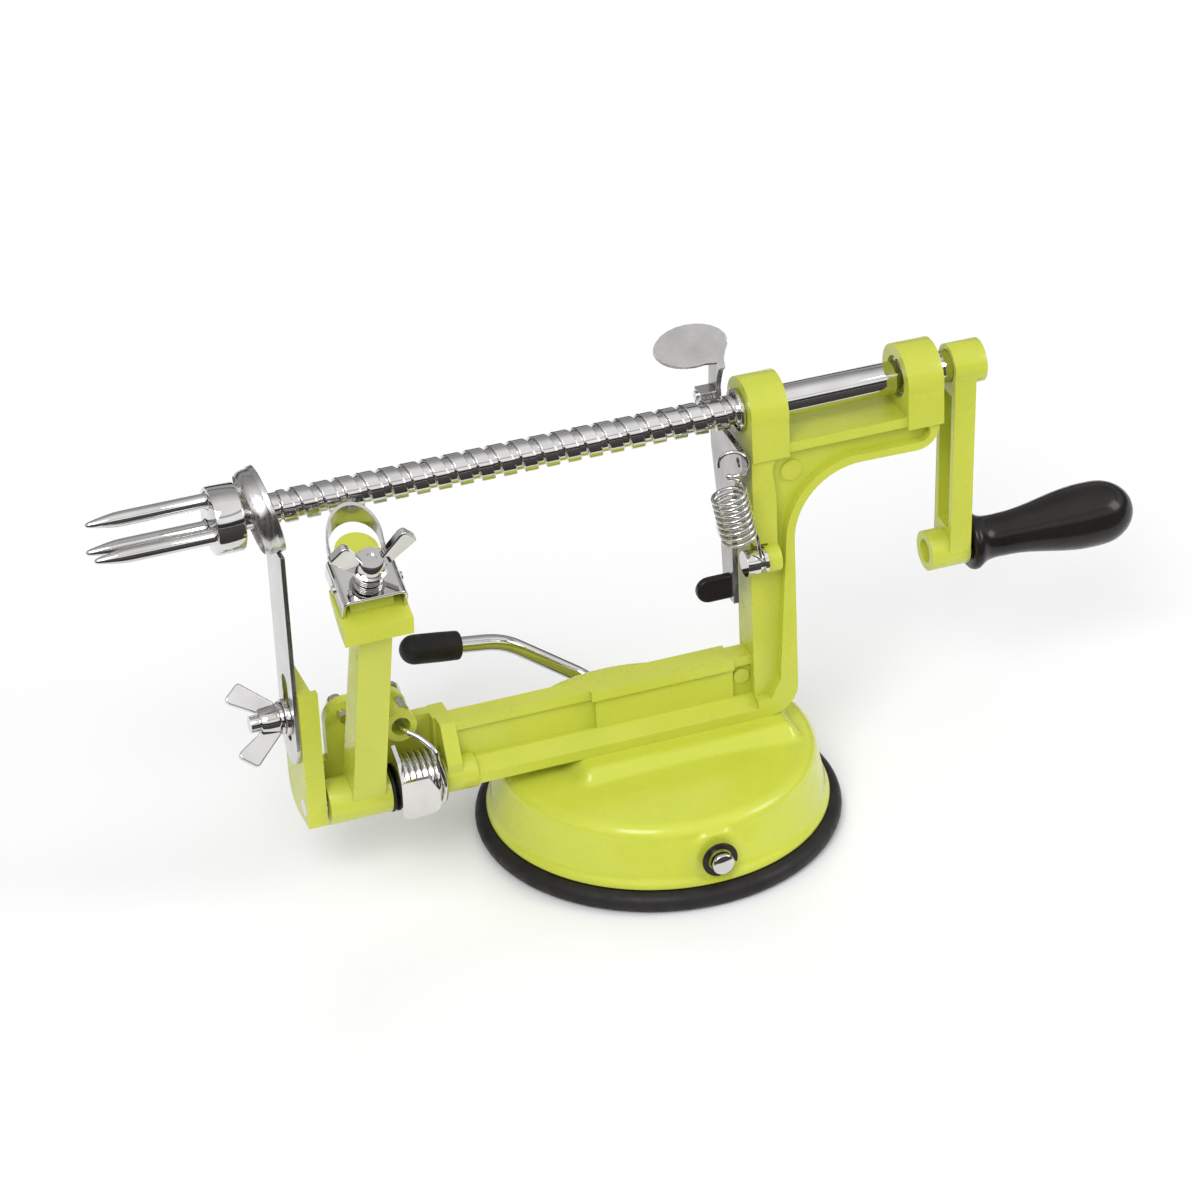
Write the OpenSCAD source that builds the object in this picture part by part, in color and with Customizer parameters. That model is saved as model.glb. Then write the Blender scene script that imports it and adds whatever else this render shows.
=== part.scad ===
// Apple peeler corer on a suction base.
// Origin: centre of the base on the table. +X runs along the drive shaft to the crank, +Z is up.

/* [Shaft] */
// Height of the drive shaft axis above the table
axis_h = 128; // [127:0.5:130]
// Radius of the smooth drive shaft
shaft_r = 4.78; // [4.7:0.01:4.8]
// Outer radius of the thread
thread_r = 4.75; // [4.6:0.01:4.8]
// Depth of the thread groove
groove_depth = 0.95; // [0.8:0.05:1.1]
// Width of the thread groove
groove_w = 2.2; // [2:0.1:2.6]
// Pitch of the feed thread
pitch = 6.35; // [6.35:0.01:6.35]
// Radius of the fork hub
hub_r = 9.7; // [8.5:0.1:9.8]
// Length of the apple prongs
prong_len = 34; // [26:1:40]
// Radius of one prong
prong_r = 2.15; // [1.8:0.05:2.3]
// Distance of each prong from the shaft axis
prong_circle_r = 6; // [5:0.1:6.5]

/* [Crank] */
// Distance from the shaft axis to the handle axis
crank_len = 62.1; // [50:0.5:70]
// Angle of the crank from straight down
crank_angle = 3.7; // [0:0.1:10]
// Length of the handle grip
grip_len = 53; // [48:1:60]
// Largest radius of the handle grip
grip_r = 9.7; // [9:0.1:11]

/* [Base] */
// Outer radius of the rubber suction cup
cup_r = 53.9; // [53.5:0.1:54]
// Outer radius of the metal cap at its rim
cap_r = 50.4; // [50.2:0.1:50.6]
// Height of the cap's raised pad, where the frame sits
pad_z = 30; // [29.5:0.1:30.5]
// Height of the suction lever axis
cam_z = 14.4; // [14:0.1:15]
// Radius of the suction lever rod
lever_rod_r = 2.5; // [2.2:0.1:2.6]

/* [Frame] */
// Half of the frame's full width
frame_hw = 8.5; // [8.5:0.1:9]
// Half of the web's thickness
web_hw = 1.9; // [1.6:0.1:2.5]
// Height of the bar's top edge
bar_top = 49; // [47:0.5:51]
// Radius of the two shaft bosses
boss_r = 9.6; // [9.4:0.1:9.8]
// Left face of the upright
post_x = 29.2; // [29:0.1:29.4]

/* [Peeler arm] */
// Lean of the peeler arm towards the user
arm_lean = 18; // [18:1:22]
// Radius of the arm's pivot barrel
barrel_r = 6.6; // [6:0.1:6.8]
// Centre of the arm along the shaft
arm_x = -90.2; // [-91:0.1:-90]
// Width of the arm's post
post_w = 9.6; // [9:0.1:11]

/* [Slicer] */
// Width of the slicer strip
strip_w = 14.8; // [12:0.1:15]
// Thickness of the slicer strip
strip_t = 1.4; // [1:0.1:1.6]
// Inner radius of the coring ring
ring_in_r = 11.4; // [10.5:0.1:11.6]

/* [Hidden] */
$fn = 64;

// Colours
lime = [0.77, 0.82, 0.28];
chrome = [0.82, 0.82, 0.84];
steel = [0.66, 0.66, 0.67];
black = [0.13, 0.12, 0.11];

// Shaft stations along X
hub_x0 = -126.5;
hub_x1 = -118.3;
thread_x0 = -107;
thread_x1 = 30;
shaft_x1 = 101.5;
neck_r = 4.4;
groove_x_at_top = -103.18;
steps_per_turn = 20;

// Crank and handle
crank_x0 = 93;
crank_face = 99.6;
crank_x1 = 103;
grip_x0 = 100.7;
handle_bolt_r = 2.5;
bolt_seat = 94;

// Frame stations
plate_x0 = -108;
plate_x1 = -102.3;
boss_l_x1 = 40.5;
boss_r_x0 = 77;
boss_r_x1 = 88;
upright_x1 = 41.7;
arm_top_z = axis_h - 9.2;
pivot = [-4, 32.5];
pivot_pin_r = 2.5;
run = 0.05;
eyelet = [-77.5, 51.5];
stop_x = [-92.5, -75.8];
spring_axis = [-4.6, 33.9];
lug = [-8.2, 83];
anchor = [-9.6, 83.5];

// Coring ring: its middle and its lean towards the fork
ring_x = -112.4;
ring_lean = 12;

// Bracket on top of the peeler arm, in the arm's frame
stud_foot = [4, 86.7];
bracket_tilt = 7.5;
bracket_leg = 7;

// Suction lever: the axle, the arm that leans left and up, and the flatter tip
lever_y = 56;
lever_angle = 37;
tip_angle = 7.7;
elbow_r = 6;
knee_r = 14;
knee_dist = 34.15;
tip_dist = 32.3;
knee_run = knee_r * tan((lever_angle - tip_angle) / 2);

// Release lever
lever_x = 24.6;
lever_t = 1.6;
release_pivot = [2, 90];

// Arm frame: the arm is drawn upright about its pivot and then leaned
module in_arm() {
    translate([0, pivot[0], pivot[1]]) rotate([arm_lean, 0, 0]) children();
}

// Cylinder along +X from x0 to x1
module rod_x(r, x0, x1, y = 0, z = 0) {
    translate([x0, y, z]) rotate([0, 90, 0]) cylinder(r = r, h = x1 - x0);
}

// Cylinder along +Y from y0 to y1
module rod_y(r, y0, y1, x = 0, z = 0) {
    translate([x, y0, z]) rotate([-90, 0, 0]) cylinder(r = r, h = y1 - y0);
}

// Outline in the YZ plane, extruded along +X
module slab_x(x0, x1) {
    translate([x0, 0, 0]) rotate([90, 0, 90]) linear_extrude(height = x1 - x0) children();
}

// Outline in the XZ plane, extruded along +Y
module slab_y(y0, y1) {
    translate([0, y1, 0]) rotate([90, 0, 0]) linear_extrude(height = y1 - y0) children();
}

// Box from its lowest to its highest corner
module box(low, high) {
    translate(low) cube(high - low);
}

// Points of an arc about c
function arc(c, r, a0, a1, n = 12) =
    [for (i = [0:n]) let (a = a0 + (a1 - a0) * i / n) [c[0] + r * cos(a), c[1] + r * sin(a)]];

// Bent round rod: each step is [straight length, bend radius, bend angle, roll after the bend]
module bent_rod(r, steps, i = 0) {
    if (i < len(steps)) {
        s = steps[i];
        cylinder(r = r, h = s[0]);
        translate([0, 0, s[0]]) {
            if (s[2] > 0)
                translate([s[1], 0, 0]) mirror([1, 0, 0]) rotate([90, 0, 0])
                    rotate_extrude(angle = s[2]) translate([s[1], 0]) circle(r = r);
            translate([s[1] * (1 - cos(s[2])), 0, s[1] * sin(s[2])]) rotate([0, s[2], 0])
                rotate([0, 0, s[3]]) bent_rod(r, steps, i + 1);
        }
    }
}

// Wing nut about +Z: a drilled body and two raised wings, whose tips are centred at [tip_r, tip_h]
module wing_nut(bore_r, body_r, body_h, tip_r, tip_h) {
    edge = [2.1, -2.6];
    difference() {
        union() {
            cylinder(r1 = body_r, r2 = body_r * 0.8, h = body_h);
            for (side = [0, 180]) rotate([90, 0, side])
                translate([0, 0, -1.1]) linear_extrude(height = 2.2)
                    polygon([[body_r * 0.7, body_h * 0.2], [tip_r, tip_h] + edge, [tip_r, tip_h] - edge,
                        [body_r * 0.5, body_h * 0.95]]);
        }
        translate([0, 0, -1]) cylinder(r = bore_r, h = body_h + 2);
    }
}

module base_cap() {
    spot_y = 48.2;
    rim_z = 6.4;
    color(lime) difference() {
        union() {
            rotate_extrude($fn = 128) polygon(concat(
                [[46.8, rim_z], [cap_r, rim_z], [cap_r, 7.8], [49.7, 8.9], [49.1, 9.9], [47.3, 21]],
                arc([43.3, 21.2], 4, 10, 78, 6),
                [[30, 26.4], [0, 27.2], [0, 25.2], [30, 24.6], [42.6, 23.1], [45.3, 20.6]]));
            box([-27, -16, 24.8], [38, 16, pad_z]);
            for (side = [-1, 1])
                rod_y(7.5, side > 0 ? 41 : -spot_y - 0.2, side > 0 ? spot_y + 0.2 : -41, 0, cam_z);
        }
        rod_y(lever_rod_r + run, -60, 60, 0, cam_z);
        for (x = [-14, 14]) translate([x, 0, 20]) cylinder(r = 2.1, h = 12);
        for (side = [-1, 1])
            rod_y(6.8, side > 0 ? spot_y : -60, side > 0 ? 60 : -spot_y, 0, cam_z);
    }
}

module suction_cup() {
    bead_r = 3.1;
    color(black) rotate_extrude($fn = 128) union() {
        translate([cup_r - bead_r, bead_r]) circle(r = bead_r, $fn = 32);
        translate([0, 0]) square([cup_r - bead_r, 4.6]);
    }
}

module cup_plate() {
    color(steel) translate([0, 0, 4.8]) cylinder(r = 20, h = 1.3);
}

module lift_yoke() {
    color(steel) difference() {
        box([-9.5, -2.2, 6.1], [9.5, 2.2, 20.6]);
        box([-7.3, -3, 7.3], [7.3, 3, 18.4]);
    }
}

module suction_lever() {
    axle_y0 = -54;
    color(chrome) rod_y(3.3, axle_y0, -51.1, 0, cam_z);
    color(chrome) translate([0, axle_y0, cam_z]) rotate([0, 180 + lever_angle, 0])
        rotate([-90, 0, 0]) bent_rod(lever_rod_r, [
            [lever_y - elbow_r - axle_y0, elbow_r, 90, -90],
            [knee_dist - elbow_r - knee_run, knee_r, lever_angle - tip_angle, 0],
            [tip_dist - knee_run - 2, 1, 0, 0]
        ]);
}

module cam() {
    color(steel) difference() {
        rod_y(5, -2.2, 2.2, 0, cam_z - 1.6);
        rod_y(lever_rod_r, -3, 3, 0, cam_z);
    }
}

module axle_clip() {
    color(black) difference() {
        rod_y(5.3, -51.1, -50.3, 0, cam_z);
        rod_y(lever_rod_r, -52, -50, 0, cam_z);
    }
}

module lever_tip() {
    tip_len = 18.4;
    tip_r = 4.4;
    color(black) translate([-knee_dist * cos(lever_angle), lever_y, cam_z + knee_dist * sin(lever_angle)])
        rotate([0, tip_angle - 90, 0]) translate([0, 0, tip_dist - tip_len]) rotate_extrude()
            polygon(concat([[lever_rod_r, 0], [tip_r, 0]],
                arc([tip_r - 4, tip_len - 4], 4, 0, 90, 6),
                [[0, tip_len], [0, tip_len - 2], [lever_rod_r, tip_len - 2]]));
}

module frame_screws() {
    color(steel) for (x = [-14, 14]) translate([x, 0, 0]) {
        translate([0, 0, 23]) cylinder(r = 3.8, h = 2.2);
        translate([0, 0, 25.2]) cylinder(r = 2, h = 12);
    }
}

// Outline of the upright and the upper arm in the XZ plane
function upright_outline(inset, left, low, top) = concat(
    [[left, low]],
    arc([upright_x1 - 9, pad_z + 9], 9 - inset, -90, 0, 8),
    arc([upright_x1 + 20.8, 87], 20.8 + inset, 180, 90, 16),
    arc([80, 114.5], 7 - inset, -90, 0, 6),
    [[87 - inset, top], [left, top]]);

module frame_bar() {
    step_x0 = -19;
    step_x1 = 23.4;
    lip = 1.5;
    box([-64, -web_hw, pad_z], [post_x, web_hw, bar_top]);
    box([-64, -web_hw - lip, bar_top - 3], [post_x, web_hw + lip, bar_top]);
    box([step_x0, -3.4, pad_z + 2], [step_x1, 3.4, bar_top]);
    box([step_x0 - lip, -3.4 - lip, bar_top - 3], [step_x1, 3.4 + lip, bar_top]);
    box([-62, -frame_hw, pad_z], [post_x + 4, frame_hw, pad_z + 3]);
    slab_x(-62, post_x + 1) polygon([[-frame_hw, pad_z + 2.9], [-web_hw - 1.4, pad_z + 6],
        [web_hw + 1.4, pad_z + 6], [frame_hw, pad_z + 2.9]]);
    slab_x(-66, -61.5) polygon([[-frame_hw, pad_z + 1], [-frame_hw, pad_z + 8],
        [-web_hw - lip, bar_top], [frame_hw, bar_top], [frame_hw, pad_z + 1]]);
    rod_x(5.2, -66.5, -57, pivot[0], pivot[1]);
}

module frame_end() {
    back_y = 10;
    slab_x(plate_x0, plate_x1 - 1.5) polygon(concat(
        [[-frame_hw, 27.8], [-frame_hw, 71.5], [back_y, 71.5]],
        arc([back_y - 8, 36], 8, 0, -80, 6)));
    slab_x(plate_x0, plate_x1) polygon([[-frame_hw, 27.8], [-frame_hw, 71.5], [-6.2, 71.5],
        [-6.2, 27.8]]);
    slab_x(plate_x0, plate_x1) polygon([[-7, 27.8], [-7, 40.5], [4, 40.5], [4, 27.8]]);
    slab_y(4.5, 8) polygon(concat([[plate_x1 - 2.5, 31], [plate_x1 - 2.5, 41], [-97.5, 41]],
        arc([-91.5, 53], 6, 180, 90, 6), arc([-79, 53], 6, 90, 30, 4),
        [[-72, bar_top], [-64, bar_top], [-64, 31]]));
    rod_y(4.8, -3.4, 6, eyelet[0], eyelet[1]);
    box([-66.8, 1, pad_z + 1], [-62, 8, bar_top]);
}

module frame_uprights() {
    web = 5.5;
    recess = frame_hw - web;
    difference() {
        slab_y(-frame_hw, frame_hw)
            polygon(upright_outline(0, post_x, pad_z, arm_top_z));
        for (side = [-1, 1]) {
            y0 = side > 0 ? web : -frame_hw - 1;
            slab_y(y0, y0 + recess + 1)
                polygon(concat([[36.4, bar_top - 6]],
                    [[36.4, 103]], arc([40.4, 110.8], 5, 180, 90, 5),
                    arc([81.2, 112.9], 2.9, 90, -90, 8), [[62.5, 110]],
                    arc([upright_x1 + 20.8, 87], 23.4, 90, 180, 12)));
            slab_y(y0, y0 + recess + 1)
                polygon([[post_x - 1, 36], [post_x - 1, 88], [33.4, 88], [33.4, 86], [36.5, 86],
                    [36.5, 42], [33.4, 36]]);
        }
    }
    for (side = [-1, 1]) {
        y0 = side > 0 ? web - 0.1 : -web - 0.6;
        rod_y(3.2, y0, y0 + 0.7, 42.2, 108.5);
        bar_y0 = side > 0 ? web_hw - 0.1 : -web_hw - 0.8;
        rod_y(2.4, bar_y0, bar_y0 + 0.9, 26.3, 42);
    }
}

module frame_bosses() {
    for (s = [[post_x, boss_l_x1], [boss_r_x0, boss_r_x1]]) {
        rod_x(boss_r, s[0], s[1], 0, axis_h);
        box([s[0], 0.2 - boss_r, 115], [s[1], boss_r - 0.2, axis_h]);
    }
}

module frame_casting() {
    color(lime) difference() {
        union() {
            frame_bar();
            frame_end();
            frame_uprights();
            frame_bosses();
            rod_x(4.2, 32, 36.4, lug[0], lug[1]);
        }
        rod_x(5.66, post_x - 1, boss_l_x1 + 1, 0, axis_h);
        rod_x(6.2, boss_r_x0 - 1, boss_r_x1 + 1, 0, axis_h);
        rod_x(pivot_pin_r, -112, -50, pivot[0], pivot[1]);
        rod_y(2.85, -10, 12, eyelet[0], eyelet[1]);
        for (x = stop_x) rod_y(1.5, 3, 9, x, 55.3);
        rod_x(2.5, -120, plate_x1 + 1, 0, 61);
        rod_x(2, post_x - 1, 34, release_pivot[0], release_pivot[1]);
        rod_x(2, 31, 36, anchor[0], anchor[1]);
        for (x = [-14, 14]) translate([x, 0, pad_z - 1]) cylinder(r = 2, h = 8.2);
    }
}

module rear_bush() {
    color(steel) difference() {
        rod_x(6.2, boss_r_x0 + 1, boss_r_x1 - 1, 0, axis_h);
        rod_x(shaft_r + 0.06, boss_r_x0 - 1, boss_r_x1 + 1, 0, axis_h);
    }
}

module front_bush() {
    color(steel) difference() {
        union() {
            rod_x(5.6, post_x - 1, boss_l_x1, 0, axis_h);
            rod_x(6.3, post_x - 1.8, post_x - 0.3, 0, axis_h);
        }
        rod_x(shaft_r + 0.06, post_x - 3, boss_l_x1 + 1, 0, axis_h);
    }
}

// One corner of the thread's ridge at step i: u is the distance along the shaft from its middle
function ridge_corner(i, u, r) =
    let (f = 90 + 360 * i / steps_per_turn)
    [groove_x_at_top + pitch * (0.5 + i / steps_per_turn) + u, r * cos(f), axis_h + r * sin(f)];

// Right-handed ridge: the land between two turns of the groove
module thread_ridge(first, last) {
    top = (pitch - groove_w) / 2;
    root = top + 0.25;
    sunk = thread_r - groove_depth - 0.4;
    points = [for (i = [first:last]) for (c = [[-root, sunk], [-top, thread_r], [top, thread_r],
        [root, sunk]]) ridge_corner(i, c[0], c[1])];
    n = len(points);
    sides = [for (i = [0:4:n - 8]) for (k = [0:3])
        let (a = i + k, b = i + (k + 1) % 4)
        each [[a, b, b + 4], [a, b + 4, a + 4]]];
    polyhedron(points, concat(sides, [[3, 2, 1], [3, 1, 0], [n - 4, n - 3, n - 2],
        [n - 4, n - 2, n - 1]]));
}

module screw_shaft() {
    color(chrome) {
        thread_ridge(0, 21 * steps_per_turn - 8);
        rod_x(thread_r - groove_depth, thread_x0, thread_x1, 0, axis_h);
        rod_x(shaft_r, thread_x1, shaft_x1, 0, axis_h);
        rod_x(neck_r, hub_x1, thread_x0, 0, axis_h);
    }
}

module fork_hub() {
    color(chrome) difference() {
        rod_x(hub_r, hub_x0, hub_x1, 0, axis_h);
        for (a = [75, 195, 315]) rod_x(prong_r, hub_x0 - 1, hub_x0 + 6,
            prong_circle_r * cos(a), axis_h + prong_circle_r * sin(a));
    }
}

module fork_prongs() {
    taper = 9;
    color(chrome) for (a = [75, 195, 315])
        translate([0, prong_circle_r * cos(a), axis_h + prong_circle_r * sin(a)]) {
            rod_x(prong_r, hub_x0 - prong_len + taper, hub_x0 + 6);
            translate([hub_x0 - prong_len + taper, 0, 0]) rotate([0, -90, 0])
                cylinder(r1 = prong_r, r2 = 0.6, h = taper);
        }
}

// Crank frame: the shaft axis at the origin, the arm hanging along -Z
module at_crank() {
    translate([0, 0, axis_h]) rotate([crank_angle, 0, 0]) children();
}

module crank_arm() {
    half = 5.9;
    low_x0 = 87.4;
    color(lime) at_crank() difference() {
        union() {
            rod_x(6.4, crank_x0, crank_x1);
            rod_x(6, low_x0, crank_face, 0, -crank_len);
            slab_x(crank_x0, crank_face) polygon([[-half, -crank_len + 1], [-half, 0], [half, 0],
                [half, -crank_len + 1]]);
        }
        slab_x(crank_x0 - 1, crank_x0 + 3.2) polygon([[-3.9, -crank_len + 8.5], [-3.9, -8.5],
            [3.9, -8.5], [3.9, -crank_len + 8.5]]);
        rod_x(shaft_r, crank_x0 - 1, shaft_x1);
        rod_x(3, shaft_x1 - 1, crank_x1 + 1);
        rod_x(handle_bolt_r, low_x0 - 1, crank_face + 1, 0, -crank_len);
        rod_x(3.5, low_x0 - 1, bolt_seat, 0, -crank_len);
    }
}

module crank_screw() {
    color(steel) rod_x(3, shaft_x1, crank_x1, 0, axis_h);
}

module handle_bolt() {
    color(steel) at_crank() {
        difference() {
            rod_x(3.4, bolt_seat - 2.4, bolt_seat, 0, -crank_len);
            box([bolt_seat - 3, -0.5, -crank_len - 4], [bolt_seat - 1.6, 0.5, -crank_len + 4]);
        }
        rod_x(handle_bolt_r, bolt_seat, grip_x0 + grip_len - 8, 0, -crank_len);
    }
}

module handle_washer() {
    color(steel) at_crank() difference() {
        rod_x(5.4, crank_face, crank_face + 0.5, 0, -crank_len);
        rod_x(handle_bolt_r, crank_face - 1, crank_face + 1, 0, -crank_len);
    }
}

module handle_grip() {
    neck = 6.4;
    color(black) at_crank() translate([grip_x0, 0, -crank_len]) rotate([0, 90, 0])
        rotate_extrude() polygon(concat(
            [[handle_bolt_r + run, 0], [8.3, 0], [8.6, 1.4], [7.4, 3.6], [neck, 7], [neck, 11]],
            [for (t = [0.2:0.2:1]) [neck + (grip_r - neck) * (1 - cos(180 * t)) / 2,
                11 + (grip_len * 0.7 - 11) * t]],
            arc([grip_r - 9, grip_len - 10], 9, 0, 90, 8),
            [[0, grip_len - 1], [0, grip_len - 7.5], [handle_bolt_r + run, grip_len - 7.5]]));
}

module release_lever() {
    pad_x = 18.3;
    pad_half = [11, 6.3];
    neck_y = -8.4;
    color(steel) {
        difference() {
            slab_x(lever_x, lever_x + lever_t) polygon([[-3, 67], [5, 67], [6.5, 90], [11.5, 112],
                [12.5, 128], [11.5, 138], [7.6, 144.6], [3.4, 140.4], [5.4, 136], [6.4, 133],
                [5.9, 128], [5.6, 121.6], [-6, 121], [-11.5, 120.5], [-13, 117], [-12, 113.5],
                [-8, 111], [-4, 103], [-3, 95]]);
            rod_x(2.05, lever_x - 1, lever_x + 3, release_pivot[0], release_pivot[1]);
            rod_x(1.5, lever_x - 1, lever_x + 3, -10, 117);
            for (z = [125.5, 130.5]) rod_x(0.8, lever_x - 1, lever_x + 3, 8.6, z);
        }
        box([16.5, -3, 69.5], [lever_x, -1.4, 76.5]);
        translate([pad_x, 9.3, 145.7]) rotate([45, 0, 0]) linear_extrude(height = lever_t)
            polygon(concat([for (a = [-30:15:285]) [pad_half[0] * cos(a), pad_half[1] * sin(a)]],
                [[6, -6.5], [lever_x - pad_x, neck_y], [lever_x + lever_t - pad_x, neck_y],
                [8.3, -5.6]]));
    }
}

module half_nut() {
    tooth_x = groove_x_at_top + 20 * pitch - 0.25 * pitch;
    color(steel) difference() {
        union() {
            box([lever_x - 5, 5.2, 123.5], [lever_x, 10.5, 132.5]);
            box([tooth_x - 0.6, 4.25, axis_h - 0.9], [tooth_x + 0.6, 5.4, axis_h + 0.9]);
        }
        for (z = [125.5, 130.5]) rod_x(0.8, lever_x - 6, lever_x + 1, 8.6, z);
    }
}

module nut_rivets() {
    color(chrome) for (z = [125.5, 130.5]) {
        rod_x(0.8, lever_x - 5, lever_x + lever_t, 8.6, z);
        rod_x(1.3, lever_x - 5.6, lever_x - 5, 8.6, z);
    }
}

module release_pin() {
    color(chrome) {
        rod_x(2, lever_x - 0.3, 34, release_pivot[0], release_pivot[1]);
        rod_x(3.6, lever_x - 1.6, lever_x - 0.3, release_pivot[0], release_pivot[1]);
    }
}

// Plain tube with a spring's outer shape, along +Z
module coil_tube(r, wire, h) {
    difference() {
        cylinder(r = r, h = h);
        translate([0, 0, -1]) cylinder(r = r - wire, h = h + 2);
    }
}

module release_spring() {
    color(chrome) translate([23.5, -12.8, 93]) rotate([0, -11.9, 0]) coil_tube(4.8, 1.1, 16.5);
}

module spring_anchor() {
    color(chrome) difference() {
        union() {
            rod_x(3.8, 25.6, 32, anchor[0], anchor[1]);
            rod_x(2, 32, 36, anchor[0], anchor[1]);
        }
        difference() {
            rod_x(5, 29.4, 30.9, anchor[0], anchor[1]);
            rod_x(2.9, 29, 31, anchor[0], anchor[1]);
        }
    }
}

module peeler_arm() {
    post_x0 = arm_x - post_w / 2;
    tongue_hw = 6.3;
    top = -bracket_leg - run;
    color(lime) difference() {
        union() {
            in_arm() rod_x(barrel_r, -101.6, -83.2);
            in_arm() slab_x(post_x0, post_x0 + post_w)
                polygon([[-5.4, 0], [-4, 76], [3.6, 79.5], [4.6, 0]]);
            on_bracket() slab_x(-9.9, 9.9) polygon([[-13.2, -11.8], [-11.2, top], [3.2, top],
                [1, -8.8], [-7, -11.6]]);
            on_bracket() intersection() {
                slab_x(-tongue_hw, tongue_hw) polygon([[-6.4, top - 1], [-1.5, -3], [1, -1.2],
                    [20, -1.2], [20, -5], [6, top - 1]]);
                translate([0, 0, -20]) linear_extrude(height = 20) {
                    translate([-tongue_hw, -10]) square([2 * tongue_hw, 20]);
                    translate([0, 10]) circle(r = tongue_hw);
                }
            }
        }
        in_arm() rod_x(pivot_pin_r + run, -103, -82);
        on_bracket() translate([0, 0, -12]) cylinder(r = 1.6, h = 20);
    }
}

module pivot_pin() {
    color(chrome) rod_x(pivot_pin_r, plate_x0, -57.5, pivot[0], pivot[1]);
}

module pivot_clip() {
    color(black) difference() {
        rod_x(6.9, -83, -82.3, pivot[0], pivot[1]);
        rod_x(pivot_pin_r, -84, -82, pivot[0], pivot[1]);
    }
}

module torsion_spring() {
    color(chrome) difference() {
        rod_x(8.8, -80, -67.2, spring_axis[0], spring_axis[1]);
        rod_x(7.1, -81, -67, spring_axis[0], spring_axis[1]);
    }
}

module arm_latch() {
    front_y = -15;
    color(chrome) difference() {
        union() {
            slab_x(-81.8, -80.6) polygon([[front_y, 28.5], [front_y, 40], [-12, 45], [-6.5, 48],
                [-4, 44], [1.5, 38], [1.5, 30], [-4, 26.5], [front_y + 3, 27]]);
            slab_y(front_y, front_y + 1.2) polygon(concat(
                [[-81.8, 28.5], [-81.8, 40], [-73.6, 40], [-70.6, 34.8]],
                arc([-73.2, 30.8], 2.8, 15, -90, 6), [[-79.5, 27.6]]));
        }
        rod_x(pivot_pin_r + run, -83, -79, pivot[0], pivot[1]);
    }
}

module stop_screws() {
    color(chrome) for (x = stop_x) {
        rod_y(1.5, x < arm_x ? 1 : -1, 9.5, x, 55.3);
        rod_y(2.6, 9.5, 11.2, x, 55.3);
    }
}

module on_bracket() {
    in_arm() translate([arm_x, stud_foot[0], stud_foot[1]]) rotate([bracket_tilt, 0, 0]) children();
}

module blade_bracket() {
    half = 9.4;
    t = 1;
    color(chrome) on_bracket() difference() {
        translate([0, 8.6, 0]) rotate([90, 0, 0]) linear_extrude(height = 15.6) difference() {
            polygon(concat([[half, -bracket_leg]], arc([half - 2.5, -2.5], 2.5, 0, 90, 6),
                arc([2.5 - half, -2.5], 2.5, 90, 180, 6), [[-half, -bracket_leg]]));
            polygon(concat([[half - t, -bracket_leg - 1]], arc([half - 2.5, -2.5], 1.5, 0, 90, 6),
                arc([2.5 - half, -2.5], 1.5, 90, 180, 6), [[t - half, -bracket_leg - 1]]));
        }
        translate([0, 0, -2]) cylinder(r = 2.1, h = 4);
        rod_x(1.2, -11, 11, 0.5, -3.4);
    }
}

module peeler_blade() {
    half = 8;
    t = 0.8;
    reach = 12.8;
    tilt = 18;
    color(steel) on_bracket() difference() {
        translate([0, 0, -6.2]) rotate([tilt, 0, 0]) linear_extrude(height = 5.2) difference() {
            union() {
                translate([-half, -2]) square([2 * half, reach + 2]);
                translate([0, reach]) circle(r = half);
            }
            translate([t - half, -3]) square([2 * (half - t), reach + 3]);
            translate([0, reach]) circle(r = half - t);
        }
        box([-half - 1, -9, -2.7], [half + 1, 8.8, 9]);
        rod_x(1.2, -11, 11, 0.5, -3.4);
    }
}

module bracket_pin() {
    color(steel) on_bracket() for (side = [-1, 1])
        rod_x(1.2, side > 0 ? 7.1 : -10, side > 0 ? 10 : -7.1, 0.5, -3.4);
}

module blade_stud() {
    color(steel) on_bracket() translate([0, 0, -11.5]) cylinder(r = 1.6, h = 20);
}

module blade_spring() {
    color(chrome) on_bracket() coil_tube(4.2, 1, 3.4);
}

module blade_wing_nut() {
    color(chrome) on_bracket() translate([0, 0, 3.5]) rotate([0, 0, 4])
        wing_nut(1.65, 4.9, 5.5, 10.6, 11.6);
}

module slicer_stud() {
    color(chrome) rod_x(2.5, -120.5, plate_x1, 0, 61);
}

module slicer_blade() {
    low = 53.5;
    color(steel) difference() {
        slab_x(plate_x0 - strip_t, plate_x0) difference() {
            union() {
                translate([-strip_w / 2, low]) square([strip_w, axis_h - ring_in_r - 0.5 - low]);
                translate([0, low]) circle(r = strip_w / 2);
            }
            translate([-2.7, 56]) square([5.4, 16]);
            for (z = [56, 72]) translate([0, z]) circle(r = 2.7);
        }
        translate([ring_x, 0, axis_h]) rotate([0, -ring_lean, 0]) rod_x(ring_in_r + 1.3, -6, 9);
    }
}

module coring_ring() {
    color(steel) translate([ring_x, 0, axis_h]) rotate([0, -ring_lean, 0]) difference() {
        union() {
            rod_x(ring_in_r + 0.95, -2.9, 2);
            rod_x(ring_in_r + 1.3, 1, 2.9);
        }
        rod_x(ring_in_r, -4, 4);
    }
}

module slicer_washer() {
    color(chrome) difference() {
        rod_x(5.4, plate_x0 - strip_t - 1.6, plate_x0 - strip_t, 0, 61);
        rod_x(2.55, -113, -108, 0, 61);
    }
}

module slicer_wing_nut() {
    color(chrome) translate([plate_x0 - strip_t - 1.7, 0, 61]) rotate([0, -90, 0])
        rotate([0, 0, 41]) wing_nut(2.55, 4.8, 7, 10.1, 12);
}

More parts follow.
